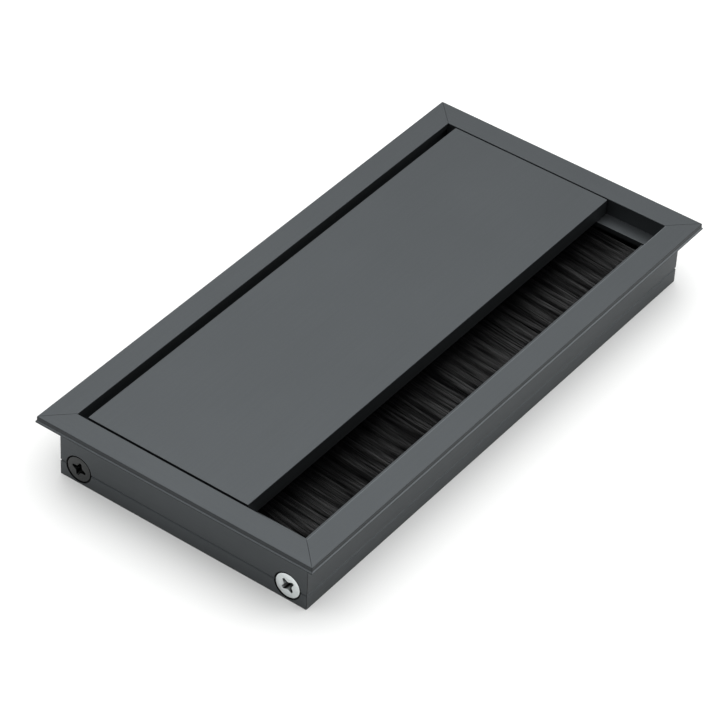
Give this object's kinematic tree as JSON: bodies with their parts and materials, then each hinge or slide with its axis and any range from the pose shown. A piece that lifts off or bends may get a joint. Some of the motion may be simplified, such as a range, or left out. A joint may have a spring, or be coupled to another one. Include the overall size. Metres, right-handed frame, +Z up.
{
  "type": "desk cable grommet",
  "caption": "Rectangular flanged aluminium desk grommet with a hinged flap over the plug passage and a brush-sealed cable slot along one side.",
  "frame": {"origin": "centre of the bottom edge of the walls, in the middle of the frame", "axes": "+X along the long side, +Y from the cable slot towards the hinge, +Z up through the flange"},
  "size_m": [0.16, 0.08, 0.018],
  "materials": {
    "anodised_aluminium": "fine satin, dark grey anodised",
    "pin_steel": "drawn",
    "galvanised_steel": "galvanised",
    "bristle_nylon": "black filaments",
    "zinc_plated_steel": "bright zinc plated",
    "black_oxide_steel": "black oxide"
  },
  "bodies": {
    "frame": {"front_rail": "anodised_aluminium", "rear_rail": "anodised_aluminium", "left_end_rail": "anodised_aluminium", "right_end_rail": "anodised_aluminium", "hinge_pin_left": "pin_steel", "hinge_pin_right": "pin_steel", "brush_holder": "galvanised_steel", "brush_wire": "galvanised_steel", "bristles": "bristle_nylon", "screw_front_left": "zinc_plated_steel", "screw_rear_left": "black_oxide_steel", "screw_front_right": "zinc_plated_steel", "screw_rear_right": "black_oxide_steel"},
    "lid": {"lid": "anodised_aluminium"}
  },
  "joints": [
    {"name": "lid_hinge", "type": "hinge", "parent": "frame", "child": "lid", "pos_m": [0, 0.0285, 0.0154], "axis": [-1, 0, 0], "range_deg": [0, 90]}
  ]
}
